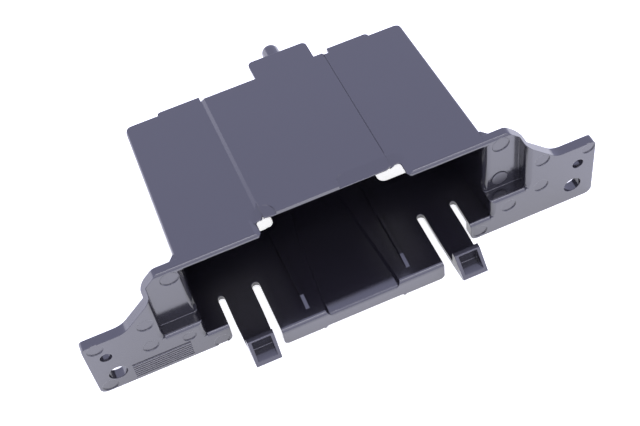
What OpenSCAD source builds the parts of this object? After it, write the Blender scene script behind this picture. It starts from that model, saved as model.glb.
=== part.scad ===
// Mounting bracket: a one-piece moulded sleeve that takes a flat module from the front.
// X runs left to right, Y from the mouth to the rear, Z up. Sizes are millimetres.
// Inside the modules Y = 0 is the front of the two screw ears, Z = 0 their lower edge.
// The finished part is moved so that its origin lies midway between the two large
// screw holes, on the ears' rear faces.

/* [Sleeve] */
// Outer width of the sleeve at its mouth
sleeve_w = 120.6; // [110:0.1:130]
// Distance from the ears' front faces to the rear edge of the sleeve's side fields
sleeve_d = 77.8; // [70:0.1:95]
// Height of the sleeve's top at the mouth
top_z = 47.8; // [44:0.1:56]
// Height of the floor
floor_z = 9.4; // [8:0.1:12]
// Thickness of the side, top and rear walls
wall = 1.8; // [1.5:0.1:2.4]
// Thickness of the floor and of the latch tongues
floor_t = 2.2; // [1.8:0.1:3]
// Draft of each side wall towards the rear, in degrees
side_draft = 1.7; // [0.5:0.1:2.5]
// Fall of the top towards the rear, in degrees
top_draft = 1.4; // [0.5:0.1:2]
// Set-back of the sleeve's mouth behind the ears' front faces
mouth_y = 5.9; // [5:0.1:8]

/* [Top] */
// Height of the raised middle field above the side fields
raise = 1; // [0.5:0.1:1.3]
// Left crest of the raised field
field_x0 = -25.4; // [-26:0.1:-24]
// Right crest of the raised field
field_x1 = 24.2; // [22:0.1:25]
// Half width of the cut-out in the top's front edge
cut_hw = 28.5; // [28:0.1:32]
// Depth of that cut-out
cut_d = 5.9; // [5:0.1:9]
// Extra depth of the cut-out in its right inner corner
relief_r = 1.7; // [1.3:0.1:2.5]
// Extra depth of the cut-out in its left inner corner
relief_l = 1; // [0.5:0.1:2.5]
// Length of the sloped lead-in on the middle field's front edge
ramp_l = 5.1; // [3.5:0.1:6]
// Sideways offset of the rear tab to the right and of that level part to the left
tab_x = 8.3; // [5:0.1:12]
// Width of the rear tab, and of the level part of the middle field's front edge
tab_w = 24.7; // [18:0.1:28]
// Reach of the rear tab behind the side fields
tab_l = 8.4; // [5:0.1:12]

/* [Flange and ears] */
// Overall length over both ears
overall = 205; // [200:0.1:230]
// Thickness of the ears and of the strips under the bays
ear_t = 4; // [3:0.1:4.5]
// Height of the ears
ear_h = 31; // [29:0.1:35]
// Slope of the shoulder between the sleeve's top and the ear, in degrees
shoulder_a = 44; // [40:0.5:48]
// Height of the shoulder over the outer wall of the bay
shoulder_z = 43.4; // [42:0.1:45]
// Radius where the shoulder runs out into the ear
shoulder_r = 8; // [4:0.5:10]
// Clear width of the bay beside each side of the mouth
bay_w = 14.7; // [12:0.1:16]
// Thickness of the bay's outer wall and floor
bay_t = 2; // [1.6:0.1:2.4]
// Thickness of the bay's rear plate
plate_t = 3.8; // [2.4:0.1:4.2]
// Height of the bay's floor
bay_z = 18.5; // [16:0.1:21]

/* [Screw holes] */
// Distance between the two large holes
big_span = 187.4; // [184:0.1:190]
// Height of the large holes
big_z = 9.2; // [8:0.1:10]
// Diameter of the large holes
big_d = 7.3; // [5:0.1:8]
// Distance between the two small holes
small_span = 190.8; // [186:0.1:193]
// Height of the small holes
small_z = 21.3; // [19:0.1:23]
// Diameter of the small holes
small_d = 4.6; // [3:0.1:5]

/* [Latches and shelf] */
// Distance from the middle to each latch tongue
latch_x = 41.7; // [40:0.1:43]
// Width of a tongue at its nose
latch_w = 10; // [8:0.1:11]
// Extra width of a tongue at its root
latch_grow = 1.1; // [0.5:0.1:1.6]
// Width of the slot on each tongue's inner side
slot_in = 3.1; // [2:0.1:4]
// Width of the slot on each tongue's outer side
slot_out = 2.6; // [2:0.1:3.5]
// Length of the slots behind the ears' front faces
slot_l = 14.1; // [9:0.1:18]
// Reach of the noses in front of the ears
nose_l = 20.4; // [19:0.1:24]
// Height of the catch above the floor
catch_h = 5.4; // [4.6:0.1:6.5]
// Depth of the catch along the tongue
catch_l = 9; // [8:0.1:9.6]
// Length of the level land on top of the catch
land_l = 1.9; // [1.2:0.1:2.4]
// Thickness of the rims round the pocket in the catch
rim = 1.2; // [0.9:0.1:1.6]
// Reach of the shelf in front of the ears
shelf_l = 11.3; // [9:0.1:11.4]
// Lower edge of the shelf's side lips
lip_z = 0.6; // [0:0.1:3]
// Lower edge of the shelf's middle lip
mid_lip_z = 1.2; // [1:0.1:4]
// Thickness of the lips
lip_t = 2; // [1.5:0.1:2.6]

/* [Floor] */
// Depth of the channel along the middle of the floor
chan_d = 1.3; // [0.8:0.1:1.7]
// Half width of the channel at the ears' front plane
chan_hw = 14.2; // [12:0.1:15]
// Inward run of the channel's sides towards the rear, in degrees
chan_a = 5; // [1:0.5:6]
// Distance from the middle to each low guide rib
rib_x = 20.6; // [19:0.1:24]
// Height of the guide ribs
rib_h = 1.2; // [0.8:0.1:1.6]
// Front edge of the two floor windows, where the left guide rib ends
win_y = 35.4; // [32:0.1:40]
// Length of the floor windows
win_l = 30; // [24:0.1:33]
// Inner edge of the left window
win_x0 = -17.7; // [-19:0.1:-16.5]
// Inner edge of the right window
win_x1 = 27.6; // [24:0.1:30]
// Outer edge of both windows
win_xo = 48; // [44:0.1:51]

/* [Locating peg] */
// Distance of the peg to the right of the middle
peg_x = 8; // [2:0.1:14]
// Height of the peg
peg_z = 39.4; // [34:0.1:39.8]
// Diameter of the peg
peg_d = 7.2; // [5:0.1:8]
// Reach of the peg behind the side fields
peg_l = 19.2; // [12:0.1:24]

/* [Grip] */
// Width of the ribbed grip on the left ear
grip_w = 23; // [16:0.5:24]
// Number of grip ribs
grip_n = 7; // [4:1:7]
// Pitch of the grip ribs
grip_p = 1.25; // [1.1:0.05:1.3]

/* [Hidden] */
$fn = 64;
hw = sleeve_w / 2;
k = tan(side_draft);
under_z = floor_z - floor_t;
chan_z = floor_z - chan_d;
rear_y = sleeve_d - 1;
rear_r = 3;
land_y = catch_l - nose_l;
in_x = hw - wall;
bay_x1 = in_x + bay_w;
bay_x2 = bay_x1 + bay_t;
plate_y = mouth_y + plate_t;
slot_x0 = latch_x - (latch_w + latch_grow) / 2 - slot_in;
slot_x1 = latch_x + (latch_w + latch_grow) / 2 + slot_out;
shoulder_top = bay_x1 - (top_z - shoulder_z) / tan(shoulder_a);
shoulder_end = bay_x1 + (shoulder_z - ear_h) / tan(shoulder_a);
level_x0 = -tab_x - tab_w / 2;
level_x1 = -tab_x + tab_w / 2;

function side_x(y) = hw - (y - mouth_y) * k;
function top_at(y) = top_z - (y - mouth_y) * tan(top_draft);
function chan_x(y) = chan_hw - y * tan(chan_a);
function arc(x, y, r, a0, a1) =
    [for (i = [0:8]) let (a = a0 + (a1 - a0) * i / 8) [x + r * cos(a), y + r * sin(a)]];

// Bar along X, of width w about X = 0, with its outline in Y and Z
module along_x(w) {
    rotate([90, 0, 90])
        linear_extrude(w, center = true)
            children();
}

// Bar along Y from y0 to y1, with its outline in X and Z
module along_y(y0, y1) {
    translate([0, y1, 0])
        rotate([90, 0, 0])
            linear_extrude(y1 - y0)
                children();
}

// Plate between the heights z0 and z1, with its outline in X and Y
module level(z0, z1) {
    translate([0, 0, z0])
        linear_extrude(z1 - z0)
            children();
}

// Rectangle between two corners
module area(x0, y0, x1, y1) {
    translate([x0, y0])
        square([x1 - x0, y1 - y0]);
}

// Rectangle between two corners, with corner radius r
module round_area(x0, y0, x1, y1, r) {
    area(x0 + r, y0, x1 - r, y1);
    area(x0, y0 + r, x1, y1 - r);
    for (x = [x0 + r, x1 - r], y = [y0 + r, y1 - r])
        translate([x, y])
            circle(r);
}

// Waste at a corner of a solid that lies towards +x and +y of the origin
module corner(r) {
    difference() {
        area(-1, -1, r, r);
        translate([r, r])
            circle(r);
    }
}

module both() {
    children();
    mirror([1, 0, 0])
        children();
}

// Sleeve

// Frame of the sloping top: its origin is on the upper face, over the mouth
module on_top() {
    translate([0, mouth_y, top_z])
        rotate([-top_draft, 0, 0])
            children();
}

// Outline of the sleeve: drafted sides, rounded rear corners, the longer inner corners
// of the top's side fields and the rear tab
module sleeve_plan() {
    xc = side_x(sleeve_d) + rear_r * (k - sqrt(1 + k * k));
    corner_arc = arc(xc, sleeve_d - rear_r, rear_r, side_draft, 90);
    difference() {
        union() {
            polygon(concat([[-side_x(0), 0], [side_x(0), 0]], corner_arc,
                [for (i = [8:-1:0]) [-corner_arc[i][0], corner_arc[i][1]]]));
            both()
                round_area(20, rear_y - 20, 44.5, sleeve_d + 1.5, 1.5);
        }
        area(-27, rear_y, 27, sleeve_d + 5);
    }
    round_area(tab_x - tab_w / 2, rear_y - 20, tab_x + tab_w / 2, sleeve_d + tab_l, 2);
}

// Section of the top, an even wall that follows the raised middle field
module top_section() {
    polygon([[-hw - 1, 0], [field_x0 - 1.5, 0], [field_x0, raise], [field_x1, raise],
             [field_x1 + 0.9, 0], [hw + 1, 0], [hw + 1, -wall], [field_x1 + 0.3, -wall],
             [field_x1 - 0.6, raise - wall], [field_x0 + 0.5, raise - wall],
             [field_x0 - 1, -wall], [-hw - 1, -wall]]);
}

// One end of the cut-out in the top's front edge, deeper in its inner corner by e
module cut_end(e) {
    y1 = cut_d + e;
    area(-1, -5, cut_hw - 1.5, cut_d);
    round_area(cut_hw - 3, -5, cut_hw, y1, 1.2);
    polygon([[cut_hw - 6.1, cut_d - 1], [cut_hw - 2.2, cut_d - 1], [cut_hw - 2.2, y1 - 0.15],
             [cut_hw - 6.1, cut_d]]);
    translate([cut_hw, 0])
        corner(2);
}

// Waste over the slope that runs round that inner corner, from x0 outwards
module corner_slope(e, x0) {
    r = 1.2;
    depth = 1.5;
    intersection() {
        translate([cut_hw - r, cut_d + e - r, 0])
            intersection_for (a = [0:18:90]) {
                run = 2.5 + 1.7 * sin(a);
                rotate([0, 0, a])
                    along_y(-40, 40)
                        polygon([[-60, -depth], [r - 0.2, -depth],
                                 [r - 0.2 + 3 * run, 2 * depth], [-60, 2 * depth]]);
            }
        level(-9, 9)
            area(x0, -3, hw, 30);
    }
}

// Waste of the cut-out's right half, with its slopes; the left half has its own depth
module cut_out(e, x0) {
    level(-9, 9)
        cut_end(e);
    corner_slope(e, x0);
}

// Waste over the lead-in slope of the middle field, on both sides of its level part
module lead_in() {
    s = (wall - 0.4) / ramp_l;
    z0 = raise - wall + 0.4;
    difference() {
        along_x(2 * cut_hw - 2)
            polygon([[cut_d - 3, z0 - 3 * s], [cut_d + ramp_l + 2, raise + 2 * s],
                     [cut_d - 3, raise + 3]]);
        level(-9, 9) {
            area(level_x0, 0, level_x1, 30);
            translate([level_x1, cut_d + ramp_l])
                mirror([0, 1])
                    corner(3);
            translate([level_x0, cut_d + ramp_l])
                rotate(180)
                    corner(4);
        }
    }
}

// Top, side walls and rear wall, before the outline is cut
module sleeve_body() {
    intersection() {
        on_top()
            along_y(-1, sleeve_d + tab_l)
                top_section();
        along_x(3 * hw)
            area(mouth_y, 0, 2 * sleeve_d, top_z + 9);
    }
    difference() {
        along_x(2 * hw + 2)
            polygon([[0, under_z], [rear_y, under_z], [rear_y, top_at(rear_y) - wall / 2],
                     [mouth_y, top_at(mouth_y) - wall / 2], [mouth_y, bay_z], [0, bay_z]]);
        level(0, top_z)
            both()
                polygon([[-1, -1], [side_x(-1) - wall, -1],
                         [side_x(rear_y - wall) - wall, rear_y - wall], [-1, rear_y - wall]]);
    }
    along_y(rear_y - wall, rear_y)
        area(field_x0 + 1, floor_z, field_x1 - 1, top_at(rear_y) + raise - wall / 2);
}

// Waste that rounds the sleeve's long upper edge, set out a little from both faces
module side_edge() {
    r = 1.3;
    c = 0.02 - r;
    translate([hw, mouth_y, top_z])
        rotate([-top_draft, 0, side_draft])
            along_y(-1, sleeve_d + tab_l)
                polygon(concat([[1, 1], [1, c]], arc(c, c, r, 0, 90), [[c, 1]]));
}

module sleeve() {
    difference() {
        intersection() {
            sleeve_body();
            level(under_z, top_z + 9)
                sleeve_plan();
        }
        on_top() {
            cut_out(relief_r, field_x1 + 0.3);
            mirror([1, 0, 0])
                cut_out(relief_l, -field_x0);
            lead_in();
        }
        both()
            side_edge();
    }
}

// Flange: bays, strips and screw ears

// Everything below the flange's upper outline
module under_shoulder() {
    t = tan(shoulder_a / 2);
    polygon(concat([[0, -9], [0, top_z + 0.1]],
        arc(shoulder_top - 5 * t, top_z - 4.9, 5, 90, 90 - shoulder_a),
        arc(shoulder_end + shoulder_r * t, ear_h + shoulder_r, shoulder_r,
            270 - shoulder_a, 270),
        [[overall, ear_h], [overall, -9]]));
}

// Front sheet: screw ear and the strip that runs under the bay to the latch slot
module front_sheet() {
    r = 3;
    along_y(0, ear_t) {
        difference() {
            intersection() {
                area(bay_x1, 0, overall / 2, top_z);
                under_shoulder();
            }
            translate([overall / 2, 0])
                rotate(90)
                    corner(3);
            translate([overall / 2, ear_h])
                rotate(180)
                    corner(1.8);
        }
        area(in_x, 0, bay_x1 + 1, bay_z);
        area(slot_x1 + r, 0, in_x + 1, floor_z);
        area(slot_x1, r, slot_x1 + r + 1, floor_z);
        translate([slot_x1 + r, r])
            circle(r);
    }
}

// Bay beside the mouth: outer wall, rear plate and floor
module bay() {
    intersection() {
        union() {
            along_y(0, plate_y)
                area(bay_x1, bay_z - bay_t, bay_x2, top_z);
            along_y(mouth_y, plate_y)
                area(in_x + wall / 2, bay_z - bay_t, bay_x1 + 1, top_z + 1);
            along_y(0, plate_y)
                area(in_x, bay_z - bay_t, bay_x1 + 1, bay_z);
        }
        along_y(0, plate_y)
            under_shoulder();
        on_top()
            along_x(3 * hw)
                area(-9, -top_z, 9, 0);
        level(0, top_z + 1)
            difference() {
                area(0, 0, bay_x2, plate_y);
                translate([bay_x2, plate_y])
                    rotate(180)
                        corner(3.2);
            }
    }
}

// Gusset in the corner between the bay's rear plate and the side wall
module gusset() {
    x = side_x(plate_y);
    intersection() {
        level(bay_z - bay_t, top_z + 1)
            polygon([[x - 0.4, plate_y - 1], [x + 2.1, plate_y - 1], [x + 2.1, plate_y],
                     [x, plate_y + 2.4], [x - 0.4, plate_y + 2.4]]);
        on_top()
            along_x(3 * hw)
                area(-9, -top_z, 30, -0.1);
    }
}

// Waste of a rounded front edge from x0 to x1, below the level z
module front_edge(x0, x1, z, r) {
    translate([(x0 + x1) / 2, 0, z])
        along_x(x1 - x0)
            mirror([0, 1])
                corner(r);
}

// Waste of the rounded edges round one side of the mouth
module mouth_edges() {
    translate([bay_x1, 0])
        level(bay_z, top_z)
            corner(1.8);
    translate([in_x, mouth_y])
        level(bay_z, top_z - wall - 0.3)
            corner(wall - 0.2);
    translate([in_x, 0])
        level(floor_z, bay_z + 1)
            corner(1.6);
    front_edge(in_x - 1, bay_x1, bay_z, 1.6);
    front_edge(slot_x1 - 1, in_x, floor_z, 1.6);
}

// Waste over the rounded front edge of the side fields and of the bay plates
module nose() {
    r = wall - 0.2;
    on_top()
        along_x(2 * bay_x2)
            difference() {
                area(-2, -r, r, 1.5);
                translate([r, -r])
                    circle(r);
            }
}

module screw_holes() {
    translate([big_span / 2, -1, big_z])
        rotate([-90, 0, 0])
            cylinder(h = ear_t + 2, d = big_d);
    translate([small_span / 2, -1, small_z])
        rotate([-90, 0, 0])
            cylinder(h = ear_t + 2, d = small_d);
}

// Floor, shelf and latches

// Outline of the right half of the floor
module floor_plan() {
    polygon([[-1, -shelf_l], [slot_x0, -shelf_l], [slot_x0, 0], [slot_x1, 0], [side_x(0) - 0.5, 0],
             [side_x(rear_y) - 0.5, rear_y - rear_r], [side_x(rear_y) - rear_r, rear_y - 0.5],
             [-1, rear_y - 0.5]]);
}

// Outline of a latch tongue, wider at its root
module tongue_plan() {
    a = latch_w / 2;
    b = (latch_w + latch_grow) / 2;
    polygon([[latch_x - a, -nose_l], [latch_x + a, -nose_l], [latch_x + b, 0],
             [latch_x + b, slot_l], [latch_x - b, slot_l], [latch_x - b, 0]]);
}

// Slots on both sides of a tongue, with round ends, and the space in front of them
module slot_plan() {
    b = (latch_w + latch_grow) / 2;
    area(slot_x0, -1, latch_x - b, slot_l - slot_in / 2);
    translate([slot_x0 + slot_in / 2, slot_l - slot_in / 2])
        circle(d = slot_in);
    area(latch_x + b, -1, slot_x1, slot_l - slot_out / 2);
    translate([slot_x1 - slot_out / 2, slot_l - slot_out / 2])
        circle(d = slot_out);
    area(slot_x0, -1, slot_x1, 0);
}

// Waste of the floor channel: its sides lean out, and its front edge is rounded
module channel() {
    r = 1.8;
    w = chan_hw - 1;
    intersection() {
        along_x(4 * chan_hw)
            polygon(concat([[-40, chan_z - r]], arc(r - shelf_l, chan_z - r, r, 180, 90),
                           [[120, chan_z], [120, floor_z + 5], [-40, floor_z + 5]]));
        intersection_for (s = [-1, 1])
            rotate([0, 0, s * chan_a])
                along_y(-40, 120)
                    polygon([[s * (w - 1.5), chan_z - 1.5 * chan_d], [s * (w + 1), floor_z],
                             [s * (w + 1), floor_z + 9], [-s * 60, floor_z + 9],
                             [-s * 60, chan_z - 1.5 * chan_d]]);
    }
}

module floor_plate() {
    level(under_z, floor_z)
        difference() {
            both()
                floor_plan();
            both()
                slot_plan();
            round_area(-win_xo, win_y, win_x0, win_y + win_l, 3);
            round_area(win_x1, win_y, win_xo, win_y + win_l, 3);
        }
    level(under_z - chan_d, chan_z - 0.5)
        polygon([for (p = [[-1, -shelf_l], [1, -shelf_l], [1, rear_y], [-1, rear_y]])
            [p[0] * (chan_x(p[1]) + 1), p[1]]]);
}

// Front lips of the shelf, deeper on both sides than in the middle
module lips() {
    m = chan_x(-shelf_l) + 0.8;
    along_y(-shelf_l, lip_t - shelf_l)
        intersection() {
            union() {
                both()
                    round_area(m, lip_z, slot_x0, floor_z + 6, 2);
                area(-m - 1, mid_lip_z, m + 1, floor_z);
                both()
                    translate([m, mid_lip_z])
                        mirror([1, 1])
                            corner(1);
            }
            area(-hw, 0, hw, floor_z);
        }
}

// Floor and shelf, with the channel along the middle
module base() {
    difference() {
        union() {
            floor_plate();
            lips();
        }
        channel();
        translate([0, -shelf_l, 0])
            front_edge(-hw, hw, floor_z, 1.8);
    }
}

// Latch tongue with its catch, which has a pocket in the front slope
module tongue() {
    intersection() {
        level(0, top_z)
            tongue_plan();
        difference() {
            along_x(3 * hw)
                polygon([[-nose_l, floor_z - 0.7], [-nose_l, floor_z - 1.1],
                         [1.3 - nose_l, under_z], [slot_l, under_z], [slot_l, floor_z],
                         [land_y, floor_z], [land_y, floor_z + catch_h],
                         [land_y - land_l, floor_z + catch_h]]);
            level(floor_z + 0.2, top_z)
                area(latch_x - latch_w / 2 + rim, -nose_l - 5,
                     latch_x + latch_w / 2 - rim, land_y - land_l - 0.3);
        }
    }
}

// Low rib on the floor at x, up to y1, with a ramp on the shelf
module guide_rib(x, y1) {
    translate([x, 0, 0])
        along_x(1.6)
            polygon([[-6, floor_z - 1], [y1, floor_z - 1], [y1, floor_z + rib_h],
                     [0, floor_z + rib_h], [-6, floor_z]]);
}

// Peg and grip

// Peg on the rear wall, with a round nose that ends in a small flat
module peg() {
    r = peg_d / 2;
    c = r - 0.6;
    l = sleeve_d + peg_l - rear_y;
    translate([peg_x, rear_y, peg_z])
        rotate([-90, 0, 0])
            rotate_extrude() {
                area(0, -wall / 2, r, l - c);
                area(0, 0, r - c, l);
                intersection() {
                    translate([r - c, l - c])
                        circle(c);
                    area(0, 0, r, l);
                }
            }
}

// Horizontal ribs for the thumb, beside the left large hole
module grip() {
    x1 = 8 - bay_x1;
    for (i = [0:grip_n - 1])
        along_y(-0.4, 0.5)
            area(x1 - grip_w, 1.6 + i * grip_p, x1, 1.6 + i * grip_p + 0.6);
}

module moulding() {
    difference() {
        union() {
            sleeve();
            both() {
                front_sheet();
                bay();
                gusset();
            }
            base();
        }
        nose();
        both() {
            mouth_edges();
            screw_holes();
        }
    }
    both()
        tongue();
    guide_rib(-rib_x, win_y - 0.6);
    guide_rib(rib_x, win_y + win_l);
    peg();
    grip();
}

// The whole moulding, with its origin between the large holes
module bracket() {
    color([0.03, 0.03, 0.035])
        translate([0, -ear_t, -big_z])
            moulding();
}

bracket();
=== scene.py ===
"""Looks of a one-piece moulded mounting bracket, dressed on its CAD frame."""
import logging
import math
from dataclasses import dataclass, field
from enum import Enum

import bmesh
import bpy
from mathutils import Matrix, Vector


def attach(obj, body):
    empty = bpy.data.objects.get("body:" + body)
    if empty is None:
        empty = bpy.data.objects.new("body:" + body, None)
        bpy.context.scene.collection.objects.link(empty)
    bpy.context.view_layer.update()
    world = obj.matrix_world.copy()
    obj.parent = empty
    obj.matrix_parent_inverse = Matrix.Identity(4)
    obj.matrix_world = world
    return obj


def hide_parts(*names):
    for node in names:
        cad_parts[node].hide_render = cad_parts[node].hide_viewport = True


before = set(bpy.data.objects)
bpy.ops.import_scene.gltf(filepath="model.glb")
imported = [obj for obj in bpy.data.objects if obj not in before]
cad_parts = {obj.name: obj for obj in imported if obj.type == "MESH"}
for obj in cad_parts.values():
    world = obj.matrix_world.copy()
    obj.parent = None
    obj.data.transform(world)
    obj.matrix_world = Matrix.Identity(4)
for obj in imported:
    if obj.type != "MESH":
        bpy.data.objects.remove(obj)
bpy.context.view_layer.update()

MM = 0.001  # metres
EAR_T = 4.0  # thickness of the ears, in millimetres
BIG_Z = 9.2  # height of the large screw holes over the ears' lower edges, in millimetres
BEYOND = 1.0  # how far waste reaches out of the moulding, in millimetres
WHITE = (1.0, 1.0, 1.0, 1.0)

log = logging.getLogger("bracket")


def row(x: float, y: float, z: float) -> Vector:
    """Turns a place on the moulding into the row frame.

    Args:
        x: millimetres to the right of the middle.
        y: millimetres behind the ears' front faces.
        z: millimetres above the ears' lower edges.

    Returns:
        The place in metres.
    """
    return Vector((x, y - EAR_T, z - BIG_Z)) * MM


class Side(Enum):
    """The side of the bracket, as the sign of X."""

    LEFT = -1
    RIGHT = 1


@dataclass(frozen=True)
class SatinPlastic:
    """Satin black moulded plastic with rounded edges and a fine spark grain."""

    name: str = "satin_black_plastic"
    colour: tuple[float, float, float] = (0.012, 0.011, 0.014)
    roughness: float = 0.16
    roughness_spread: float = 0.04
    ior: float = 1.6
    specular: float = 1.0
    edge_radius: float = 0.4 * MM
    edge_samples: int = 8
    grain_height: float = 0.002 * MM
    grain_strength: float = 0.6
    grain_scale: float = 1800.0

    def material(self) -> bpy.types.Material:
        """Builds the material.

        Returns:
            The finished material.
        """
        mat = bpy.data.materials.new(self.name)
        mat.use_nodes = True
        tree = mat.node_tree
        shader = tree.nodes["Principled BSDF"]
        place = tree.nodes.new("ShaderNodeTexCoord")
        surface = tree.nodes.new("ShaderNodeGroup")
        surface.node_tree = moulded_surface()
        surface.inputs["Colour"].default_value = (*self.colour, 1.0)
        surface.inputs["Roughness"].default_value = self.roughness
        surface.inputs["Spread"].default_value = self.roughness_spread
        surface.inputs["Grain Scale"].default_value = self.grain_scale
        edge = tree.nodes.new("ShaderNodeBevel")
        edge.samples = self.edge_samples
        edge.inputs["Radius"].default_value = self.edge_radius
        bump = tree.nodes.new("ShaderNodeBump")
        bump.inputs["Distance"].default_value = self.grain_height
        bump.inputs["Strength"].default_value = self.grain_strength
        link = tree.links.new
        link(place.outputs["Object"], surface.inputs["Place"])
        link(surface.outputs["Colour"], shader.inputs["Base Color"])
        link(surface.outputs["Roughness"], shader.inputs["Roughness"])
        link(surface.outputs["Height"], bump.inputs["Height"])
        link(edge.outputs["Normal"], bump.inputs["Normal"])
        link(bump.outputs["Normal"], shader.inputs["Normal"])
        shader.inputs["IOR"].default_value = self.ior
        shader.inputs["Specular IOR Level"].default_value = self.specular
        return mat


def moulded_surface(flow_scale: float = 28.0,
                    tones: tuple[float, float] = (0.93, 1.07)) -> bpy.types.ShaderNodeTree:
    """Gives the node group of a moulded surface, building it the first time.

    Args:
        flow_scale: the scale of the soft flow pattern in colour and roughness.
        tones: what the flow pattern multiplies the colour by, at its least and its most.

    Returns:
        The group, with outputs for colour, roughness and the grain's height.
    """
    name = "moulded_surface"
    if name in bpy.data.node_groups:
        return bpy.data.node_groups[name]
    tree = bpy.data.node_groups.new(name, "ShaderNodeTree")
    for way, label, kind in (("INPUT", "Place", "Vector"), ("INPUT", "Colour", "Color"),
                             ("INPUT", "Roughness", "Float"), ("INPUT", "Spread", "Float"),
                             ("INPUT", "Grain Scale", "Float"), ("OUTPUT", "Colour", "Color"),
                             ("OUTPUT", "Roughness", "Float"), ("OUTPUT", "Height", "Float")):
        tree.interface.new_socket(label, in_out=way, socket_type=f"NodeSocket{kind}")
    given = tree.nodes.new("NodeGroupInput")
    result = tree.nodes.new("NodeGroupOutput")
    link = tree.links.new

    grain = tree.nodes.new("ShaderNodeTexNoise")
    grain.inputs["Detail"].default_value = 3.0
    link(given.outputs["Place"], grain.inputs["Vector"])
    link(given.outputs["Grain Scale"], grain.inputs["Scale"])
    link(grain.outputs["Fac"], result.inputs["Height"])

    flow = tree.nodes.new("ShaderNodeTexNoise")
    flow.inputs["Scale"].default_value = flow_scale
    flow.inputs["Detail"].default_value = 2.0
    link(given.outputs["Place"], flow.inputs["Vector"])

    centred = tree.nodes.new("ShaderNodeMath")
    centred.operation = "SUBTRACT"
    centred.inputs[1].default_value = 0.5
    link(flow.outputs["Fac"], centred.inputs[0])
    rough = tree.nodes.new("ShaderNodeMath")
    rough.operation = "MULTIPLY_ADD"
    link(centred.outputs[0], rough.inputs[0])
    link(given.outputs["Spread"], rough.inputs[1])
    link(given.outputs["Roughness"], rough.inputs[2])
    link(rough.outputs[0], result.inputs["Roughness"])

    tone = tree.nodes.new("ShaderNodeMapRange")
    tone.inputs["To Min"].default_value, tone.inputs["To Max"].default_value = tones
    link(flow.outputs["Fac"], tone.inputs["Value"])
    tint = tree.nodes.new("ShaderNodeVectorMath")
    tint.operation = "SCALE"
    link(given.outputs["Colour"], tint.inputs[0])
    link(tone.outputs["Result"], tint.inputs["Scale"])
    link(tint.outputs["Vector"], result.inputs["Colour"])
    return tree


def arc(x: float, y: float, radius: float, start: float, end: float,
        steps: int = 14) -> list[tuple[float, float]]:
    """Gives the points of an arc.

    Args:
        x: the centre's first coordinate.
        y: the centre's second coordinate.
        radius: the arc's radius.
        start: the first point's angle, in degrees.
        end: the last point's angle, in degrees.
        steps: the number of straight pieces.

    Returns:
        The points, both ends included.
    """
    turns = (math.radians(start + (end - start) * i / steps) for i in range(steps + 1))
    return [(x + radius * math.cos(turn), y + radius * math.sin(turn)) for turn in turns]


def circle(x: float, y: float, radius: float, sides: int) -> list[tuple[float, float]]:
    """Gives the corners of a regular polygon that stands for a circle.

    Args:
        x: the centre's first coordinate.
        y: the centre's second coordinate.
        radius: the circle's radius.
        sides: the number of corners.

    Returns:
        The corners, each once.
    """
    return arc(x, y, radius, 0, 360 * (1 - 1 / sides), sides - 1)


def loft(mesh: bmesh.types.BMesh, sections: list[list[Vector]]) -> list[bmesh.types.BMFace]:
    """Adds a closed solid through a row of sections.

    Args:
        mesh: the mesh to add to.
        sections: loops of points in the row frame, all of one length and in one order.

    Returns:
        The faces between the sections, without the two ends.
    """
    loops = [[mesh.verts.new(point) for point in section] for section in sections]
    count = len(loops[0])
    sides = [mesh.faces.new((near[i], near[(i + 1) % count], far[(i + 1) % count], far[i]))
             for near, far in zip(loops, loops[1:]) for i in range(count)]
    mesh.faces.new(reversed(loops[0]))
    mesh.faces.new(loops[-1])
    return sides


@dataclass(frozen=True)
class SoftCorner:
    """Waste that rounds an upright edge of the mouth or of a bay.

    At the foot the radius grows from a small share to all of it, by the steps of run_out: each
    is a height over low and the share of the radius there.
    """

    x: float
    y: float
    low: float
    high: float
    radius: float
    set_out: float = 0.02
    run_out: tuple[tuple[float, float], ...] = ((0.0, 0.12), (0.5, 0.4), (1.3, 0.68), (2.6, 0.92),
                                                (4.0, 1.0))

    def carve(self, mesh: bmesh.types.BMesh, side: Side) -> None:
        """Adds the waste to the cutter's mesh.

        Args:
            mesh: the cutter's mesh.
            side: the side of the bracket that the edge is on.
        """
        levels = [(self.low + rise, self.radius * share) for rise, share in self.run_out]
        sections = []
        for z, radius in (*levels, (self.high, self.radius)):
            middle = radius - self.set_out
            outline = [(-BEYOND, -BEYOND), (middle, -BEYOND),
                       *arc(middle, middle, radius, 270, 180), (-BEYOND, middle)]
            sections.append([row(side.value * (self.x + x), self.y + y, z) for x, y in outline])
        loft(mesh, sections)


@dataclass(frozen=True)
class RollOff:
    """Waste that lets the front of the floor's channel fall gently towards its lip."""

    y: float = -11.3
    z: float = 8.12
    run: float = 6.5
    drop: float = 0.42
    half_width: float = 13.9
    height: float = 0.6
    overrun: float = 1.1
    steps: int = 22

    def carve(self, mesh: bmesh.types.BMesh) -> None:
        """Adds the waste to the cutter's mesh.

        Args:
            mesh: the cutter's mesh.
        """
        shares = [self.overrun * i / self.steps for i in range(self.steps + 1)]
        outline = [(self.y + self.run * (1 - share), self.z - self.drop * share ** 2)
                   for share in shares]
        top = self.z + self.height
        outline += [(self.y - BEYOND, top), (self.y + self.run, top)]
        loft(mesh, [[row(x, y, z) for y, z in outline]
                    for x in (-self.half_width, self.half_width)])


@dataclass(frozen=True)
class PinMark:
    """Shallow round recess that an ejector pin left in a face towards the front."""

    x: float
    y: float
    z: float
    radius: float = 3.1
    depth: float = 0.35
    sides: int = 56

    def carve(self, mesh: bmesh.types.BMesh) -> None:
        """Adds the waste to the cutter's mesh.

        Args:
            mesh: the cutter's mesh.
        """
        outline = circle(self.x, self.z, self.radius, self.sides)
        loft(mesh, [[row(x, y, z) for x, z in outline]
                    for y in (self.y - BEYOND, self.y + self.depth)])


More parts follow.
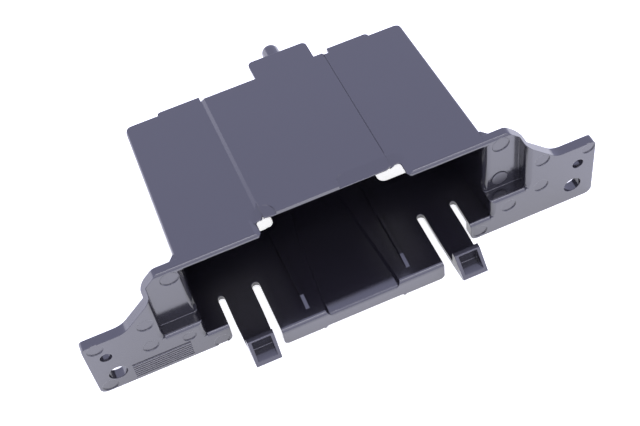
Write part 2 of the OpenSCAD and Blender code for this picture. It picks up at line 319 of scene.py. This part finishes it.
@dataclass
class Moulding:
    """The bracket's moulding: its CAD solid with softer edges and the marks of the mould."""

    node: str = "bracket"
    weld: float = 0.001 * MM
    corners: tuple[SoftCorner, ...] = (
        SoftCorner(x=58.5, y=5.9, low=18.52, high=45.7, radius=3.2),
        SoftCorner(x=58.5, y=0.0, low=9.42, high=19.5, radius=2.6),
        SoftCorner(x=73.2, y=0.0, low=18.52, high=48.0, radius=3.0),
    )
    roll_off: RollOff = field(default_factory=RollOff)
    marks: tuple[PinMark, ...] = (
        PinMark(-64.3, 5.9, 43.2, 3.5), PinMark(-78.3, 0.0, 30.7), PinMark(-79.1, 0.0, 17.3),
        PinMark(-97.8, 0.0, 28.1), PinMark(-64.9, 0.0, 13.4, 2.6), PinMark(-98.2, 0.0, 3.3),
        PinMark(-54.0, 0.0, 2.5), PinMark(65.6, 5.9, 43.3, 3.5), PinMark(79.9, 0.0, 32.4),
        PinMark(79.8, 0.0, 17.1), PinMark(66.1, 0.0, 12.7), PinMark(99.4, 0.0, 28.4, 2.7),
        PinMark(53.8, 0.0, 3.8),
    )

    def build(self, plastic: bpy.types.Material, pin_face: bpy.types.Material) -> bpy.types.Object:
        """Builds the moulding from a copy of the CAD node's mesh.

        Args:
            plastic: the material of the moulded faces.
            pin_face: the material of the faces that the ejector pins left.

        Returns:
            The finished piece, which stands for the CAD node.
        """
        skin = bpy.data.objects.new("moulding", self.welded())
        bpy.context.scene.collection.objects.link(skin)
        skin.data.materials.append(plastic)
        edges, pins = bmesh.new(), bmesh.new()
        for side in Side:
            for corner in self.corners:
                corner.carve(edges, side)
        self.roll_off.carve(edges)
        for mark in self.marks:
            mark.carve(pins)
        cutters = (cutter("edge_waste", edges, plastic), cutter("pin_waste", pins, pin_face))
        skin.data = carved(skin, cutters)
        EvenShading().apply(skin.data)
        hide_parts(self.node)
        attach(skin, "root")
        return skin

    def welded(self) -> bpy.types.Mesh:
        """Copies the CAD node's mesh as one closed surface.

        Returns:
            The copy, without the CAD mesh's own normals.
        """
        mesh = bmesh.new()
        mesh.from_mesh(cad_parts[self.node].data)
        bmesh.ops.remove_doubles(mesh, verts=mesh.verts, dist=self.weld)
        data = bpy.data.meshes.new("moulding")
        for layer in list(mesh.loops.layers.float_vector):
            mesh.loops.layers.float_vector.remove(layer)
        mesh.to_mesh(data)
        mesh.free()
        return data


def cutter(name: str, mesh: bmesh.types.BMesh, material: bpy.types.Material) -> bpy.types.Object:
    """Turns a bmesh into a cutter.

    Args:
        name: the cutter's name.
        mesh: its mesh, which is freed.
        material: the material of the faces that it leaves.

    Returns:
        The cutter.
    """
    bmesh.ops.recalc_face_normals(mesh, faces=mesh.faces)
    data = bpy.data.meshes.new(name)
    mesh.to_mesh(data)
    mesh.free()
    data.materials.append(material)
    tool = bpy.data.objects.new(name, data)
    bpy.context.scene.collection.objects.link(tool)
    return tool


def carved(solid: bpy.types.Object, cutters: tuple[bpy.types.Object, ...]) -> bpy.types.Mesh:
    """Cuts each cutter out of a solid and takes the cutters away.

    Args:
        solid: the solid, whose modifiers are used up.
        cutters: what is cut out of it, in order.

    Returns:
        The mesh that is left.
    """
    for tool in cutters:
        cut = solid.modifiers.new(tool.name, "BOOLEAN")
        cut.operation = "DIFFERENCE"
        cut.solver = "EXACT"
        cut.material_mode = "TRANSFER"
        cut.object = tool
    bpy.context.view_layer.update()
    graph = bpy.context.evaluated_depsgraph_get()
    mesh = bpy.data.meshes.new_from_object(solid.evaluated_get(graph))
    solid.modifiers.clear()
    for tool in cutters:
        bpy.data.objects.remove(tool)
    return mesh


@dataclass
class EvenShading:
    """Normals that keep flats flat and let roundings run into them without a seam."""

    crease: float = math.radians(28)
    level: float = math.radians(0.4)
    flat_width: float = 0.85 * MM

    def apply(self, data: bpy.types.Mesh) -> None:
        """Gives a mesh its own normals.

        Args:
            data: the mesh.
        """
        mesh = bmesh.new()
        mesh.from_mesh(data)
        mesh.faces.ensure_lookup_table()
        wide = self.wide_faces(mesh)
        normals = [self.corner_normal(corner, wide) for face in mesh.faces
                   for corner in face.loops]
        mesh.free()
        for face in data.polygons:
            face.use_smooth = True
        data.normals_split_custom_set(normals)

    def wide_faces(self, mesh: bmesh.types.BMesh) -> list[bool]:
        """Tells the faces of wide flats from the narrow ones of roundings.

        Args:
            mesh: the mesh.

        Returns:
            One value for each face, true in a wide flat.
        """
        wide = [False] * len(mesh.faces)
        seen = [False] * len(mesh.faces)
        for first in mesh.faces:
            if seen[first.index]:
                continue
            seen[first.index] = True
            flat, rim = [first], 0.0
            for face in flat:
                for edge in face.edges:
                    others = [f for f in edge.link_faces if f is not face
                              and f.normal.angle(face.normal, 0.0) < self.level]
                    rim += 0.0 if others else edge.calc_length()
                    for other in others:
                        if not seen[other.index]:
                            seen[other.index] = True
                            flat.append(other)
            area = sum(face.calc_area() for face in flat)
            for face in flat:
                wide[face.index] = 2 * area > self.flat_width * rim
        return wide

    def corner_normal(self, corner: bmesh.types.BMLoop, wide: list[bool]) -> Vector:
        """Gives the normal at one corner of a face.

        Args:
            corner: the face's corner.
            wide: what wide_faces gave.

        Returns:
            The normal.
        """
        own = corner.face.normal
        if wide[corner.face.index]:
            return own.copy()
        near = [other for other in corner.vert.link_loops
                if other.face.normal.angle(own, 0.0) < self.crease]
        flats = [other for other in near if wide[other.face.index]]
        total = Vector()
        for other in flats or near:
            total += other.face.normal * other.calc_angle()
        return total.normalized() if total.length > 0 else own.copy()


@dataclass
class PinBoss:
    """Low round pad on the right bay's rear plate."""

    x: float = 65.1
    z: float = 24.1
    face: float = 5.45
    root: float = 6.3
    radius: float = 3.3
    rounding: float = 0.3
    sides: int = 48

    def build(self, material: bpy.types.Material) -> bpy.types.Object:
        """Builds the pad.

        Args:
            material: the material of its face.

        Returns:
            The finished piece.
        """
        mesh = bmesh.new()
        edge = arc(self.radius - self.rounding, self.face + self.rounding, self.rounding, 0, -90,
                   steps=4)
        sections = [[row(x, y, z) for x, z in circle(self.x, self.z, radius, self.sides)]
                    for radius, y in ((self.radius, self.root), *edge)]
        for face in loft(mesh, sections):
            face.smooth = True
        return as_piece("pin_boss", mesh, material)


def as_piece(name: str, mesh: bmesh.types.BMesh, material: bpy.types.Material) -> bpy.types.Object:
    """Turns a bmesh into a piece of the bracket.

    Args:
        name: the piece's name.
        mesh: its mesh, in the row frame, which is freed.
        material: its material.

    Returns:
        The piece, which rides on the bracket's one body.
    """
    bmesh.ops.recalc_face_normals(mesh, faces=mesh.faces)
    data = bpy.data.meshes.new(name)
    mesh.to_mesh(data)
    mesh.free()
    data.materials.append(material)
    piece = bpy.data.objects.new(name, data)
    bpy.context.scene.collection.objects.link(piece)
    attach(piece, "root")
    return piece


@dataclass(frozen=True)
class SoftPanel:
    """One soft lamp of the studio, aimed at the bracket."""

    name: str
    place: tuple[float, float, float]
    size: tuple[float, float]
    radiance: float
    colour: tuple[float, float, float] = (1.0, 0.98, 1.0)
    aim: tuple[float, float, float] = (0.0, 0.03, 0.015)

    def hang(self) -> bpy.types.Object:
        """Adds the lamp to the scene.

        Returns:
            The lamp.
        """
        lamp = bpy.data.lights.new(self.name, "AREA")
        lamp.shape = "RECTANGLE"
        lamp.size, lamp.size_y = self.size
        lamp.energy = self.radiance * math.pi * self.size[0] * self.size[1]
        lamp.color = self.colour
        hung = bpy.data.objects.new(self.name, lamp)
        hung.location = self.place
        towards = Vector(self.aim) - Vector(self.place)
        hung.rotation_euler = towards.to_track_quat("-Z", "Y").to_euler()
        bpy.context.scene.collection.objects.link(hung)
        return hung


@dataclass
class Studio:
    """Plain pale floor, even surroundings and three soft panels."""

    floor_z: float = -BIG_Z * MM
    floor_half: float = 4.0
    floor_tone: float = 0.9
    floor_roughness: float = 0.9
    seen_glow: float = 0.85
    mirrored_glow: float = 0.85
    surroundings: float = 1.0
    tint: tuple[float, float, float] = (0.68, 0.69, 1.0)
    panels: tuple[SoftPanel, ...] = (
        SoftPanel("front_panel", (0.05, -0.95, 0.72), (1.4, 0.8), 0.5),
        SoftPanel("edge_strip", (0.05, -0.42, 1.05), (1.3, 0.15), 5.0),
        SoftPanel("left_panel", (-1.0, 0.75, 0.25), (1.2, 0.44), 1.25, (1.0, 0.98, 1.05)),
    )

    def build(self) -> None:
        """Builds the floor, the surroundings and the lamps."""
        for panel in self.panels:
            panel.hang()
        self.floor()
        self.world()

    def floor(self) -> bpy.types.Object:
        """Builds the floor, which looks white and keeps the bracket's shadow.

        Returns:
            The floor.
        """
        half = self.floor_half
        data = bpy.data.meshes.new("floor")
        corners = [(x, y, self.floor_z)
                   for x, y in ((-half, -half), (half, -half), (half, half), (-half, half))]
        data.from_pydata(corners, [], [(0, 1, 2, 3)])
        data.materials.append(self.floor_material())
        floor = bpy.data.objects.new("floor", data)
        bpy.context.scene.collection.objects.link(floor)
        return floor

    def floor_material(self) -> bpy.types.Material:
        """Builds the floor's matt material, which glows for the camera and in mirror images.

        Returns:
            The material.
        """
        mat = bpy.data.materials.new("pale_floor")
        mat.use_nodes = True
        tree = mat.node_tree
        shader = tree.nodes["Principled BSDF"]
        shader.inputs["Base Color"].default_value = (*(self.floor_tone,) * 3, 1.0)
        shader.inputs["Roughness"].default_value = self.floor_roughness
        shader.inputs["Specular IOR Level"].default_value = 0.0
        shader.inputs["Emission Color"].default_value = WHITE
        path = tree.nodes.new("ShaderNodeLightPath")
        mirrored = tree.nodes.new("ShaderNodeMath")
        mirrored.operation = "MULTIPLY"
        mirrored.inputs[1].default_value = self.mirrored_glow
        seen = tree.nodes.new("ShaderNodeMath")
        seen.operation = "MULTIPLY_ADD"
        seen.inputs[1].default_value = self.seen_glow
        tree.links.new(path.outputs["Is Glossy Ray"], mirrored.inputs[0])
        tree.links.new(path.outputs["Is Camera Ray"], seen.inputs[0])
        tree.links.new(mirrored.outputs[0], seen.inputs[2])
        tree.links.new(seen.outputs[0], shader.inputs["Emission Strength"])
        return mat

    def world(self) -> None:
        """Sets white surroundings for the camera and a plain level for the rest."""
        world = bpy.data.worlds.new("surroundings")
        bpy.context.scene.world = world
        world.use_nodes = True
        tree = world.node_tree
        path = tree.nodes.new("ShaderNodeLightPath")
        mix = tree.nodes.new("ShaderNodeMix")
        mix.data_type = "RGBA"
        scale = self.surroundings / self.tint[0]
        mix.inputs["A"].default_value = (*(scale * part for part in self.tint), 1.0)
        mix.inputs["B"].default_value = WHITE
        tree.links.new(path.outputs["Is Camera Ray"], mix.inputs["Factor"])
        tree.links.new(mix.outputs["Result"], tree.nodes["Background"].inputs["Color"])


@dataclass(frozen=True)
class PhotoCamera:
    """The camera at the photograph's place and angle.

    right, down and ahead are the picture's axes in the row frame.
    """

    place: tuple[float, float, float] = (-0.07124, -0.25304, 0.38703)
    right: tuple[float, float, float] = (0.91692415, -0.38374677, -0.10949208)
    down: tuple[float, float, float] = (-0.37052131, -0.71677868, -0.59071337)
    ahead: tuple[float, float, float] = (0.14820276, 0.58220851, -0.79941804)
    lens: float = 69.25
    sensor: float = 36.0
    clip_start: float = 0.01

    def mount(self) -> bpy.types.Object:
        """Adds the camera and makes it the scene's.

        Returns:
            The camera.
        """
        data = bpy.data.cameras.new("photo_camera")
        data.lens = self.lens
        data.sensor_width = self.sensor
        data.clip_start = self.clip_start
        camera = bpy.data.objects.new("photo_camera", data)
        turn = Matrix((self.right, -Vector(self.down), -Vector(self.ahead))).transposed()
        camera.matrix_world = Matrix.Translation(self.place) @ turn.to_4x4()
        bpy.context.scene.collection.objects.link(camera)
        bpy.context.scene.camera = camera
        return camera


def main() -> None:
    """Builds the pieces in order."""
    logging.basicConfig(level=logging.INFO, format="%(name)s: %(message)s")
    bpy.context.scene.view_settings.view_transform = "Standard"
    PhotoCamera().mount()
    Studio().build()
    log.info("studio and camera are up")
    plastic = SatinPlastic().material()
    pin_face = SatinPlastic("pin_faces", roughness=0.24).material()
    pad_face = SatinPlastic("pad_face", roughness=0.4).material()
    for piece in (Moulding().build(plastic, pin_face), PinBoss().build(pad_face)):
        log.info("%s: %d faces", piece.name, len(piece.data.polygons))


if __name__ == "__main__":
    main()
